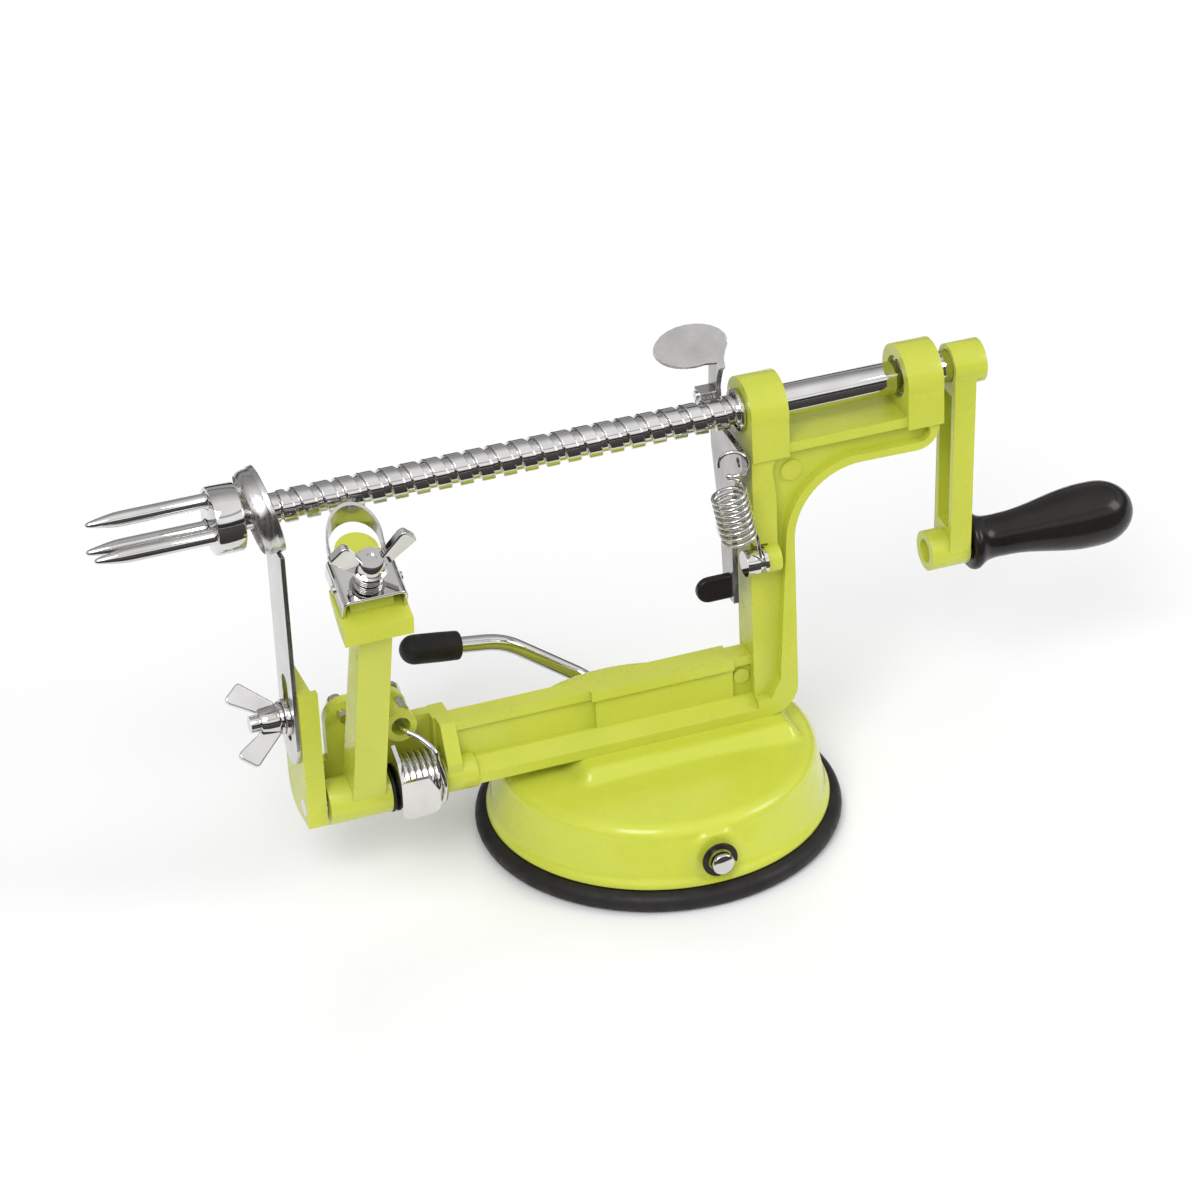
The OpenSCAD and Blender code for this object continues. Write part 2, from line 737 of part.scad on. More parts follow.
base_cap();
suction_cup();
cup_plate();
lift_yoke();
suction_lever();
cam();
axle_clip();
lever_tip();
frame_screws();
frame_casting();
rear_bush();
front_bush();
screw_shaft();
fork_hub();
fork_prongs();
crank_arm();
crank_screw();
handle_bolt();
handle_washer();
handle_grip();
release_lever();
half_nut();
nut_rivets();
release_pin();
release_spring();
spring_anchor();
peeler_arm();
pivot_pin();
pivot_clip();
torsion_spring();
arm_latch();
stop_screws();
blade_bracket();
peeler_blade();
bracket_pin();
blade_stud();
blade_spring();
blade_wing_nut();
slicer_stud();
slicer_blade();
coring_ring();
slicer_washer();
slicer_wing_nut();
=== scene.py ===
import math

import bmesh
import bpy
from mathutils import Matrix, Vector


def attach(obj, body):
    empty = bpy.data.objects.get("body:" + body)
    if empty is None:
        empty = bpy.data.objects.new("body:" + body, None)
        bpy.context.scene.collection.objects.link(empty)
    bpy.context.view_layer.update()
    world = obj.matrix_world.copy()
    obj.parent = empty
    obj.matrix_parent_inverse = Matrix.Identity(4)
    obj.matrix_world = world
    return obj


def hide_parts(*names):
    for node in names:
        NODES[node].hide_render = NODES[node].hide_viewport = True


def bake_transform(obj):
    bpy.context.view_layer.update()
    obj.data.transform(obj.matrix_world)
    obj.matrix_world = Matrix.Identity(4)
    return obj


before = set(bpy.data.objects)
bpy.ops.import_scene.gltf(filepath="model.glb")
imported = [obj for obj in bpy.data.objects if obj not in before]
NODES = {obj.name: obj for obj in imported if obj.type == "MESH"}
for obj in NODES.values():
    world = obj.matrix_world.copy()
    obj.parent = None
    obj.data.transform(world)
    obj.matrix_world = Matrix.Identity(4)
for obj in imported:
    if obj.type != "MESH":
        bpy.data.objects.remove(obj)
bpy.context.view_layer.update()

# Lengths are in mm and angles in degrees, in the CAD's frame: +X along the shaft to the crank,
# +Z up. make() turns mm into metres.
MM = 0.001
AXIS_H = 128.0
SHAFT_R, NECK_R = 4.78, 4.4
THREAD_X0, THREAD_X1 = -107.0, 30.0
CRANK_LEN, CRANK_ANGLE = 62.1, 3.7
GRIP_X = 100.7
PIVOT = Vector((0, -4, 32.5))
ARM_LEAN = 18
BRACKET_FOOT, BRACKET_TILT = (-90.2, 4.0, 86.7), 7.5
CAM_Z = 14.4
LEVER_Y = 56.0
LEVER_ANGLE, TIP_ANGLE = 37, 7.7
PAD_Z = 30.0
PAD_X0, PAD_X1, PAD_HALF_W, PAD_SLOPE_W = -25, 36, 13.5, 4.6
SPOT_R, SPOT_Y = 8.6, 48.35
RING_X, RING_LEAN = -112.4, 12


# ---------------------------------------------------------------- materials
def new_material(name, color, metallic, rough, **sockets):
    """Principled material; sockets are further inputs, with _ for each space."""
    mat = bpy.data.materials.new(name)
    mat.use_nodes = True
    bsdf = mat.node_tree.nodes["Principled BSDF"]
    bsdf.inputs["Base Color"].default_value = (*color, 1)
    bsdf.inputs["Metallic"].default_value = metallic
    bsdf.inputs["Roughness"].default_value = rough
    for key, value in sockets.items():
        bsdf.inputs[key.replace("_", " ")].default_value = value
    return mat


def noise(mat, scale, detail=3.0, stretch=(1, 1, 1)):
    """Noise over the object's own coordinates; scale is features per metre."""
    nodes, links = mat.node_tree.nodes, mat.node_tree.links
    coord = nodes.new("ShaderNodeTexCoord")
    mapping = nodes.new("ShaderNodeMapping")
    mapping.inputs["Scale"].default_value = stretch
    tex = nodes.new("ShaderNodeTexNoise")
    tex.inputs["Scale"].default_value = scale
    tex.inputs["Detail"].default_value = detail
    links.new(coord.outputs["Object"], mapping.inputs["Vector"])
    links.new(mapping.outputs["Vector"], tex.inputs["Vector"])
    return tex.outputs["Fac"]


def ramp_to(mat, fac, socket, low, high, start=0.3, end=0.7):
    """Colour or value that runs from low to high with fac."""
    nodes, links = mat.node_tree.nodes, mat.node_tree.links
    bsdf = nodes["Principled BSDF"]
    if isinstance(low, tuple):
        ramp = nodes.new("ShaderNodeValToRGB")
        ramp.color_ramp.elements[0].position = start
        ramp.color_ramp.elements[1].position = end
        ramp.color_ramp.elements[0].color = (*low, 1)
        ramp.color_ramp.elements[1].color = (*high, 1)
        links.new(fac, ramp.inputs["Fac"])
        links.new(ramp.outputs["Color"], bsdf.inputs[socket])
    else:
        rng = nodes.new("ShaderNodeMapRange")
        rng.inputs["From Min"].default_value = start
        rng.inputs["From Max"].default_value = end
        rng.inputs["To Min"].default_value = low
        rng.inputs["To Max"].default_value = high
        links.new(fac, rng.inputs["Value"])
        links.new(rng.outputs["Result"], bsdf.inputs[socket])


def bump(mat, layers):
    """Stacked bumps: each layer is (height output, strength, distance in metres)."""
    nodes, links = mat.node_tree.nodes, mat.node_tree.links
    last = None
    for height, strength, distance in layers:
        node = nodes.new("ShaderNodeBump")
        node.inputs["Strength"].default_value = strength
        node.inputs["Distance"].default_value = distance
        links.new(height, node.inputs["Height"])
        if last is not None:
            links.new(last, node.inputs["Normal"])
        last = node.outputs["Normal"]
    links.new(last, nodes["Principled BSDF"].inputs["Normal"])


def make_paint(name, light, dark, rough):
    """Gloss enamel over a casting: orange peel, a slow swell and faint colour drift."""
    mat = new_material(name, light, 0.0, rough, Coat_Weight=0.25, Coat_Roughness=0.1,
                       Specular_IOR_Level=0.35)
    ramp_to(mat, noise(mat, 55, 4), "Base Color", dark, light, 0.25, 0.75)
    ramp_to(mat, noise(mat, 160, 5), "Roughness", rough - 0.06, rough + 0.08)
    bump(mat, [(noise(mat, 70, 2), 0.05, 0.0008), (noise(mat, 900, 2), 0.09, 0.0001)])
    return mat


def make_metal(name, light, dark, rough, grain, stretch, strength):
    """Metal with a directional grain and a little uneven polish."""
    mat = new_material(name, light, 1.0, rough)
    ramp_to(mat, noise(mat, 90, 5), "Base Color", dark, light, 0.3, 0.7)
    ramp_to(mat, noise(mat, grain, 6, stretch), "Roughness", rough * 0.65, rough * 1.5)
    bump(mat, [(noise(mat, grain, 6, stretch), strength, 0.00006),
               (noise(mat, 60, 2), strength * 0.6, 0.0004)])
    return mat


PAINT = make_paint("lime_enamel", (0.560, 0.600, 0.066), (0.505, 0.550, 0.052), 0.30)
BASE_PAINT = make_paint("lime_enamel_base", (0.590, 0.640, 0.066), (0.555, 0.610, 0.058), 0.24)
CHROME = make_metal("polished_chrome", (0.72, 0.71, 0.70), (0.60, 0.59, 0.58), 0.06, 900,
                    (0.3, 1, 1), 0.05)
STEEL = make_metal("pressed_steel", (0.66, 0.65, 0.64), (0.55, 0.54, 0.53), 0.22, 1500,
                   (1, 1, 0.06), 0.16)
DARK_STEEL = make_metal("lever_steel", (0.50, 0.49, 0.48), (0.38, 0.37, 0.36), 0.26, 1200,
                        (1, 1, 0.1), 0.14)
BLADE_STEEL = make_metal("blade_steel", (0.60, 0.59, 0.58), (0.48, 0.47, 0.46), 0.16, 1500,
                         (0.1, 1, 1), 0.12)
PLASTIC = new_material("black_handle", (0.013, 0.011, 0.010), 0.0, 0.3, Specular_IOR_Level=0.1,
                       Coat_Weight=0.35, Coat_Roughness=0.16)
ramp_to(PLASTIC, noise(PLASTIC, 70, 4), "Base Color", (0.009, 0.008, 0.007),
        (0.017, 0.014, 0.012))
ramp_to(PLASTIC, noise(PLASTIC, 260, 5), "Roughness", 0.22, 0.38)
bump(PLASTIC, [(noise(PLASTIC, 120, 2), 0.10, 0.0005), (noise(PLASTIC, 1400, 3), 0.07, 0.0001)])
RUBBER = new_material("black_rubber", (0.014, 0.013, 0.012), 0.0, 0.5, Specular_IOR_Level=0.25)
ramp_to(RUBBER, noise(RUBBER, 120, 5), "Base Color", (0.010, 0.009, 0.009),
        (0.022, 0.020, 0.019))
ramp_to(RUBBER, noise(RUBBER, 300, 5), "Roughness", 0.40, 0.62)
bump(RUBBER, [(noise(RUBBER, 1800, 4), 0.22, 0.00012), (noise(RUBBER, 150, 2), 0.12, 0.0004)])


# ---------------------------------------------------------------- mesh tools
def make(name, verts, faces, sharp=35):
    """Object from points in mm, smooth shaded except at sharp edges."""
    mesh = bpy.data.meshes.new(name)
    mesh.from_pydata([Vector(v) * MM for v in verts], [], faces)
    mesh.validate()
    obj = bpy.data.objects.new(name, mesh)
    bpy.context.scene.collection.objects.link(obj)
    tidy_normals(obj, sharp)
    return obj


def tidy_normals(obj, sharp):
    """Faces outwards, smooth up to an angle of sharp degrees."""
    bm = bmesh.new()
    bm.from_mesh(obj.data)
    bmesh.ops.recalc_face_normals(bm, faces=bm.faces)
    bm.to_mesh(obj.data)
    bm.free()
    obj.data.shade_smooth()
    obj.data.set_sharp_from_angle(angle=math.radians(sharp))


def piece(obj, body, slot, mat, *replaced):
    """Gives a finished piece its material, parents it to its body's empty and hides the CAD nodes
    it replaces.
    """
    obj.data.materials.clear()
    obj.data.materials.append(mat)
    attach(obj, body)
    if replaced:
        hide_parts(*replaced)


def join_meshes(name, parts, sharp=35):
    """One object out of (verts, faces) pairs."""
    verts, faces = [], []
    for v, f in parts:
        base = len(verts)
        verts += [tuple(p) for p in v]
        faces += [tuple(base + i for i in face) for face in f]
    return make(name, verts, faces, sharp)


def ring_faces(rows, count, closed):
    """Faces between rows of vertex indices; a row of one vertex is a pole."""
    faces = []
    pairs = list(zip(rows, rows[1:])) + ([(rows[-1], rows[0])] if closed else [])
    for a, b in pairs:
        for i in range(count):
            j = (i + 1) % count
            if len(a) == 1 and len(b) == 1:
                continue
            if len(a) == 1:
                faces.append((a[0], b[j], b[i]))
            elif len(b) == 1:
                faces.append((a[i], a[j], b[0]))
            else:
                faces.append((a[i], a[j], b[j], b[i]))
    return faces


def turned_row(verts, segs, place):
    """Appends the points place(angle) round a full turn to verts; returns their indices."""
    first = len(verts)
    verts += [place(2 * math.pi * i / segs) for i in range(segs)]
    return list(range(first, first + segs))


def lathe(profile, matrix, segs=72, closed=False):
    """(verts, faces) of a profile of (along, radius) turned about matrix's local Z."""
    verts, rows = [], []
    for along, radius in profile:
        if radius == 0:
            rows.append([len(verts)])
            verts.append(matrix @ Vector((0, 0, along)))
        else:
            rows.append(turned_row(verts, segs, lambda a: matrix @ Vector(
                (radius * math.cos(a), radius * math.sin(a), along))))
    faces = ring_faces(rows, segs, closed)
    if not closed:
        for row in (rows[0], rows[-1]):
            if len(row) > 1:
                faces.append(tuple(row))
    return verts, faces


def along_x(y=0.0, z=0.0, x=0.0):
    """Matrix whose local Z runs along world +X from (x, y, z)."""
    return Matrix.Translation((x, y, z)) @ Matrix.Rotation(math.radians(90), 4, "Y")


def sweep(points, radius, segs=14):
    """(verts, faces) of a round wire along points in mm; radius may be one per point."""
    pts = [Vector(p) for p in points]
    radii = radius if isinstance(radius, list) else [radius] * len(pts)
    tangents = []
    for i in range(len(pts)):
        a, b = pts[max(i - 1, 0)], pts[min(i + 1, len(pts) - 1)]
        tangents.append((b - a).normalized())
    side = tangents[0].orthogonal().normalized()
    verts, rows = [], []
    for p, t, r in zip(pts, tangents, radii):
        side = (side - t * side.dot(t)).normalized()
        up = t.cross(side)
        row = []
        for k in range(segs):
            a = 2 * math.pi * k / segs
            row.append(len(verts))
            verts.append(p + r * (math.cos(a) * side + math.sin(a) * up))
        rows.append(row)
    faces = ring_faces(rows, segs, False)
    faces += [tuple(rows[0]), tuple(rows[-1])]
    return verts, faces


def prism(outline, depth, matrix):
    """(verts, faces) of an outline in matrix's local XY, raised by depth along its Z."""
    n = len(outline)
    verts = [matrix @ Vector((x, y, z)) for z in (0, depth) for x, y in outline]
    faces = [tuple(range(n)), tuple(range(n, 2 * n))]
    faces += [(i, (i + 1) % n, n + (i + 1) % n, n + i) for i in range(n)]
    return verts, faces


def arc(cx, cy, r, a0, a1, n=10):
    """Points of an arc about (cx, cy) from angle a0 to a1."""
    return [(cx + r * math.cos(math.radians(a0 + (a1 - a0) * i / n)),
             cy + r * math.sin(math.radians(a0 + (a1 - a0) * i / n))) for i in range(n + 1)]


def bevel(obj, width, segments=3):
    """Rounds the edges of a piece or of a CAD node, by modifiers only."""
    weld = obj.modifiers.new("weld", "WELD")
    weld.merge_threshold = 0.004 * MM
    mod = obj.modifiers.new("round_edges", "BEVEL")
    mod.width = width * MM
    mod.segments = segments
    mod.limit_method = "ANGLE"
    mod.angle_limit = math.radians(28)
    mod.use_clamp_overlap = True
    mod.harden_normals = True


def smoothstep(t):
    """Eased step from 0 to 1."""
    t = min(max(t, 0.0), 1.0)
    return t * t * (3 - 2 * t)


# ---------------------------------------------------------------- drive shaft
def thread_radius(x, phi):
    """Radius of the feed thread at station x and angle phi."""
    pitch, groove_w, depth, flank = 6.35, 2.2, 0.95, 0.16
    crest_r, round_over, round_w = 4.75, 0.05, 0.35
    groove_at_top, lead_in_r, lead_in_slope = -103.18, 4.3, 0.9
    s = (x - groove_at_top - pitch * (phi - 90) / 360) % pitch
    s = min(s, pitch - s)
    cut = 1 - smoothstep((s - groove_w / 2 + flank) / (2 * flank))
    crown = round_over * smoothstep(1 - (s - groove_w / 2) / round_w) * (1 - cut)
    return min(crest_r - depth * cut - crown, lead_in_r + (x - THREAD_X0) * lead_in_slope)


def drive_shaft():
    """Neck behind the fork, the feed thread and the smooth length to the crank."""
    segs, step = 96, 0.16
    count = int((THREAD_X1 - THREAD_X0) / step)
    stations = [(-120.0, NECK_R), (-107.2, NECK_R)]
    stations += [(THREAD_X0 + (THREAD_X1 - THREAD_X0) * i / count, None)
                 for i in range(count + 1)]
    stations += [(30.5, SHAFT_R), (101.2, SHAFT_R), (101.45, 4.55)]
    verts, rows = [], []
    for x, fixed in stations:
        row = []
        for i in range(segs):
            phi = 360 * i / segs
            radius = thread_radius(x, phi) if fixed is None else fixed
            a = math.radians(phi)
            row.append(len(verts))
            verts.append((x, radius * math.cos(a), AXIS_H + radius * math.sin(a)))
        rows.append(row)
    faces = ring_faces(rows, segs, False) + [tuple(rows[0]), tuple(rows[-1])]
    piece(make("drive_shaft", verts, faces, 50), "shaft", "chrome", CHROME, "screw_shaft")


def fork():
    """Round hub and its three pointed prongs."""
    prong_circle_r = 6
    axis = along_x(0, AXIS_H)
    hub = [(-126.5, 0), (-126.5, 9.1), (-126.3, 9.5), (-125.9, 9.7), (-118.9, 9.7),
           (-118.5, 9.5), (-118.3, 9.1), (-118.3, 0)]
    piece(join_meshes("hub", [lathe(hub, axis, 96)]), "shaft", "chrome", CHROME, "fork_hub")
    tines = []
    for a in (75, 195, 315):
        y = prong_circle_r * math.cos(math.radians(a))
        z = prong_circle_r * math.sin(math.radians(a))
        tine = [(-160.5, 0), (-160.42, 0.3), (-160.1, 0.62), (-159.4, 0.9), (-157, 1.35),
                (-154.5, 1.78), (-152.2, 2.06), (-150.4, 2.15), (-127.4, 2.15),
                (-126.9, 2.45), (-126.45, 2.9), (-126.45, 0)]
        tines.append(lathe(tine, along_x(y, AXIS_H + z), 40))
    piece(join_meshes("tines", tines, 40), "shaft", "chrome", CHROME, "fork_prongs")


# ---------------------------------------------------------------- springs
def coil(start, end, radius, turns, per_turn=28, phase=0.0):
    """Points of a helix about the line from start to end."""
    start, end = Vector(start), Vector(end)
    axis = (end - start).normalized()
    side = Vector((1, 0, 0)) if abs(axis.x) < 0.9 else Vector((0, 1, 0))
    side = (side - axis * side.dot(axis)).normalized()
    up = axis.cross(side)
    n = int(abs(turns) * per_turn)
    out = []
    for i in range(n + 1):
        a = phase + 2 * math.pi * turns * i / n
        out.append(start + (end - start) * i / n + radius * (math.cos(a) * side
                                                            + math.sin(a) * up))
    return out


def bezier(p0, p1, p2, p3, n=10):
    """Points of a cubic curve, without its first one."""
    p0, p1, p2, p3 = (Vector(p) for p in (p0, p1, p2, p3))
    out = []
    for i in range(1, n + 1):
        t = i / n
        out.append(p0 * (1 - t) ** 3 + 3 * p1 * t * (1 - t) ** 2 + 3 * p2 * t * t * (1 - t)
                   + p3 * t ** 3)
    return out


def release_spring():
    """Return spring from the frame's anchor to the release lever."""
    wire, radius = 0.55, 4.9
    low, high = Vector((23.6, -12.4, 93.4)), Vector((20.4, -12.4, 109.4))
    turns = coil(low, high, radius, 8, 32, math.radians(20))
    axis = (high - low).normalized()
    top = turns[-1]
    loop_c = Vector((22.6, -10.8, 117.2))
    hook = [loop_c + 3.9 * Vector((math.cos(a), -0.35 * math.cos(a), math.sin(a)))
            for a in (math.radians(t) for t in range(-110, 191, 15))]
    lead = bezier(top, top + axis * 2.5, hook[0] - Vector((1.5, 0, 1.0)), hook[0], 8)
    eye_c = Vector((30.1, -9.6, 83.5))
    low_hook = [eye_c + 3.4 * Vector((0.0, math.cos(a), math.sin(a)))
                for a in (math.radians(t) for t in range(150, -91, -15))]
    first = turns[0]
    tail = bezier(low_hook[0], low_hook[0] + Vector((-2.0, -1.5, 2.6)), first
                  + Vector((2.4, 0.5, -2.0)), first, 10)
    points = list(reversed(low_hook)) + tail + turns[1:] + lead + hook[1:]
    obj = join_meshes("return_spring", [sweep(points, wire, 12)], 60)
    obj.data.materials.append(CHROME)
    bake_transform(obj)
    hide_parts("release_spring")


def torsion_spring():
    """Six turns on the pivot, a leg through the eyelet and a tail behind the latch."""
    wire, radius, turn_count = 0.85, 7.95, -6
    y, z = -4.6, 33.9
    turns = coil((-79.1, y, z), (-68.2, y, z), radius, turn_count, 36, math.pi)
    last = turns[-1]
    up = Vector((0, 0, 1))
    knee, eye = Vector((-69.6, -10.2, 43.6)), Vector((-75.6, -4.6, 49.6))
    leg = bezier(last, last + up * 3, knee - up * 3.5, knee, 12)
    leg += bezier(knee, knee + up * 2, eye + Vector((3.0, -1.6, -1.2)), eye, 12)
    leg += bezier(eye, eye + Vector((-1.2, 0.7, 0.5)), Vector((-77.3, -2.0, 51.0)),
                  Vector((-77.6, 4.0, 51.0)), 8)
    first = turns[0]
    tail = bezier(Vector((-80.1, -12.4, 27.5)), Vector((-80.0, -12.6, 29.5)),
                  first - up * 2, first, 8)
    obj = join_meshes("arm_spring", [sweep(tail + turns[1:] + leg, wire, 14)], 60)
    piece(obj, "frame", "chrome", CHROME, "torsion_spring")


def blade_spring():
    """Three stiff turns between the bracket and its wing nut."""
    bottom = bracket_frame() @ Vector((0, 0, 0.55))
    top = bracket_frame() @ Vector((0, 0, 2.9))
    points = coil(bottom, top, 3.65, 3.2, 36, 0.4)
    obj = join_meshes("blade_spring_coil", [sweep(points, 0.52, 14)], 60)
    piece(obj, "arm", "chrome", CHROME, "blade_spring")


def blade_loop():
    """Stirrup of thin strip whose round end stands up to meet the apple."""
    outer_r, wall, straight, bracket_end = 8.0, 0.8, 12.8, 8.6
    low_z, tilt, top_under, top_end, lean = -6.2, math.radians(18), -1.7, 6.0, 1.9
    flare = 0.15
    reach = straight + outer_r
    stations = (-2, 2, 5, 8, 9, 10, 11.4)
    rows = []
    for r in (outer_r, outer_r - wall):
        path = [(r, y) for y in stations] + arc(0, straight, r, 0, 180, 36)
        path += [(-r, y) for y in reversed(stations)]
        for raised in (False, True):
            row = []
            for x, y in path:
                point = Vector((x, y * math.cos(tilt), low_z + y * math.sin(tilt)))
                if raised:
                    grow = max(y - bracket_end, 0) / (reach - bracket_end)
                    point.y += lean * grow ** 2
                    point.z = top_under + (top_end - top_under) * grow
                    point.x += math.copysign(flare, x) if abs(x) > 1 else 0
                row.append(bracket_frame() @ point)
            rows.append(row)
    outer_low, outer_top, inner_low, inner_top = rows
    n = len(outer_low)
    verts = outer_low + outer_top + inner_top + inner_low
    faces = []
    for a in range(4):
        b = (a + 1) % 4
        faces += [(a * n + i, a * n + i + 1, b * n + i + 1, b * n + i) for i in range(n - 1)]
    faces += [(0, n, 2 * n, 3 * n), (n - 1, 2 * n - 1, 3 * n - 1, 4 * n - 1)]
    obj = make("blade_loop", verts, faces, 40)
    bevel(obj, 0.1, 2)
    piece(obj, "arm", "steel", BLADE_STEEL, "peeler_blade")


# ---------------------------------------------------------------- coring ring
def coring_ring():
    """Ring ground to a sharp edge in front, with a thicker seat behind."""
    lean = (Matrix.Translation((RING_X, 0, AXIS_H))
            @ Matrix.Rotation(math.radians(-RING_LEAN), 4, "Y"))
    profile = [(-2.9, 11.42), (-2.88, 11.6), (-1.7, 12.3), (-1.2, 12.37), (0.9, 12.37),
               (1.25, 12.66), (1.5, 12.72), (2.7, 12.72), (2.9, 12.5), (2.9, 11.6), (2.7, 11.4),
               (-2.6, 11.38)]
    matrix = lean @ Matrix.Rotation(math.radians(90), 4, "Y")
    obj = join_meshes("coring_ring_edge", [lathe(profile, matrix, 128, True)], 40)
    piece(obj, "slicer", "steel", STEEL, "coring_ring")


# ---------------------------------------------------------------- base
def cap_point(r, z, a):
    """Point of the cap's skin: its turned profile with the raised pad and the axle's flat spots."""
    top_from, wall_from = 22, 7.6
    x, y, height = r * math.cos(a), r * math.sin(a), z
    if z > top_from:
        dx = max(PAD_X0 - x, x - PAD_X1, 0)
        dy = max(abs(y) - PAD_HALF_W, 0)
        rise = smoothstep(1 - math.hypot(dx, dy) / PAD_SLOPE_W)
        height = z + (PAD_Z - z) * rise * smoothstep((45.5 - r) / 4)
    elif z > wall_from:
        flat = smoothstep((SPOT_R - math.hypot(x, z - CAM_Z)) / 1.6)
        y += (math.copysign(SPOT_Y, y) - y) * flat
    return x, y, height


def suction_base():
    """Pressed metal cap, from a profile of (radius, height)."""
    segs, spacing = 256, 1.0
    profile = [(46.8, 6.4), (50.1, 6.4), (50.4, 6.6), (50.45, 7.2), (50.2, 7.9), (49.75, 8.7),
               (49.35, 9.4), (49.1, 10.3)]
    profile += [(49.1 - 2.0 * i / 12, 10.3 + 10.6 * i / 12) for i in range(1, 13)]
    profile += arc(43.0, 21.0, 4.1, 5, 80, 12)
    profile += [(41.5, 25.25), (38, 25.65), (34, 26.0), (30, 26.35), (26, 26.6), (22, 26.8),
                (18, 26.95), (14, 27.05), (10, 27.15), (6, 27.2), (3, 27.2), (0, 27.2)]
    dense = []
    for (r0, z0), (r1, z1) in zip(profile, profile[1:]):
        n = max(1, int(math.hypot(r1 - r0, z1 - z0) / spacing))
        dense += [(r0 + (r1 - r0) * i / n, z0 + (z1 - z0) * i / n) for i in range(n)]
    dense.append(profile[-1])
    verts, rows = [], []
    for r, z in dense[:-1]:
        rows.append(turned_row(verts, segs, lambda a: cap_point(r, z, a)))
    rows.append([len(verts)])
    verts.append((0, 0, PAD_Z))
    inner_rows = [rows[0]]
    for r, z in [(45.4, 20.4), (42.6, 23.1), (30, 24.6)]:
        inner_rows.append(turned_row(verts, segs,
                                     lambda a: (r * math.cos(a), r * math.sin(a), z)))
    inner_rows.append([len(verts)])
    verts.append((0, 0, 25.2))
    faces = ring_faces(rows, segs, False) + ring_faces(inner_rows, segs, False)
    piece(make("base_shell", verts, faces, 50), "frame", "lime_paint", BASE_PAINT, "base_cap")


def rubber_rim():
    """Suction cup with its rounded bead."""
    bead, middle = 3.1, 50.8
    rim = [(0.0, 0.0), (0.0, middle)]
    rim += [(bead - bead * math.cos(math.radians(t)), middle + bead * math.sin(math.radians(t)))
            for t in range(10, 171, 10)]
    rim += [(6.2, 50.3), (5.9, 48.9), (4.7, 48.0), (4.6, 46.5), (4.6, 0.0)]
    obj = join_meshes("rubber_rim", [lathe(rim, Matrix.Identity(4), 192)], 40)
    piece(obj, "frame", "black_rubber", RUBBER, "suction_cup")


def lever():
    """Bent rod from the axle to the tip, its rubber sleeve and the clip on the axle's front end."""
    rod_r, knee_dist, tip_dist, y = 2.5, 34.15, 32.3, LEVER_Y
    a1, a2 = math.radians(LEVER_ANGLE), math.radians(TIP_ANGLE)
    d0 = Vector((0, 1, 0))
    d1 = Vector((-math.cos(a1), 0, math.sin(a1)))
    d2 = Vector((-math.cos(a2), 0, math.sin(a2)))
    corner = Vector((0, y, CAM_Z))
    knee = corner + d1 * knee_dist
    tip = knee + d2 * tip_dist
    elbow = bezier(corner - d0 * 7.5, corner - d0 * 2.2, corner + d1 * 2.2, corner + d1 * 7.5, 14)
    bend = bezier(knee - d1 * 6.5, knee - d1 * 1.8, knee + d2 * 1.8, knee + d2 * 6.5, 14)
    axle = [(-54.0, 2.8), (-53.85, 3.15), (-53.6, 3.3), (-51.5, 3.3), (-51.2, 3.1),
            (-51.1, rod_r), (-50.0, rod_r), (20.0, rod_r), (y - 7.6, rod_r)]
    points = [Vector((0, along, CAM_Z)) for along, _ in axle] + elbow
    points += [knee - d1 * 6.6] + bend + [tip - d2 * 4, tip - d2 * 3]
    radii = [r for _, r in axle] + [rod_r] * (len(points) - len(axle))
    obj = join_meshes("suction_arm", [sweep(points, radii, 28)], 40)
    piece(obj, "lever", "chrome", CHROME, "suction_lever")
    turn = Vector((0, 0, 1)).rotation_difference(d2).to_matrix().to_4x4()
    matrix = Matrix.Translation(tip) @ turn
    sleeve_r = 4.5
    sleeve = [(-18.4, 2.55), (-18.4, 3.9), (-18.1, 4.25), (-17.4, 4.4), (-12, sleeve_r),
              (-4.6, sleeve_r)]
    sleeve += [(sleeve_r * math.sin(math.radians(t)) - 4.4, sleeve_r * math.cos(math.radians(t)))
               for t in range(8, 90, 8)]
    sleeve += [(0.1, 0)]
    obj = join_meshes("lever_sleeve", [lathe(sleeve, matrix, 48)], 40)
    piece(obj, "lever", "black_rubber", RUBBER, "lever_tip")
    outline = arc(0, 0, 5.3, -20, 270, 40) + arc(0, 0, 3.55, 262, -12, 36)
    matrix = Matrix.Translation((0, -50.3, CAM_Z)) @ Matrix.Rotation(math.radians(90), 4, "X")
    clip = join_meshes("axle_e_clip", [prism(outline, 0.85, matrix)])
    bevel(clip, 0.2, 2)
    piece(clip, "lever", "black_plastic", PLASTIC, "axle_clip")


# ---------------------------------------------------------------- handle
def at_crank(x):
    """Matrix whose local Z runs along +X on the handle's axis."""
    a = math.radians(CRANK_ANGLE)
    return along_x(CRANK_LEN * math.sin(a), AXIS_H - CRANK_LEN * math.cos(a), x)


def handle():
    """Turned grip: a collar, a waist and a full round end."""
    profile = [(0, 2.6), (0.0, 7.9), (0.35, 8.3), (1.0, 8.55), (1.9, 8.5), (2.8, 8.0),
               (3.9, 7.3), (5.2, 6.75), (7, 6.45), (9, 6.35), (11, 6.4)]
    for i in range(1, 16):
        t = i / 15
        profile.append((11 + 27.5 * t, 6.4 + 3.3 * (1 - math.cos(math.pi * t)) / 2))
    profile += [(41.5, 9.68), (43.5, 9.5), (45.5, 9.1), (47.5, 8.3), (49.5, 7.05), (51.1, 5.5),
                (52.1, 4.0), (52.7, 2.5), (52.95, 1.1), (53.0, 0.0)]
    obj = join_meshes("grip", [lathe(profile, at_crank(GRIP_X), 128)], 45)
    piece(obj, "grip", "black_plastic", PLASTIC, "handle_grip")


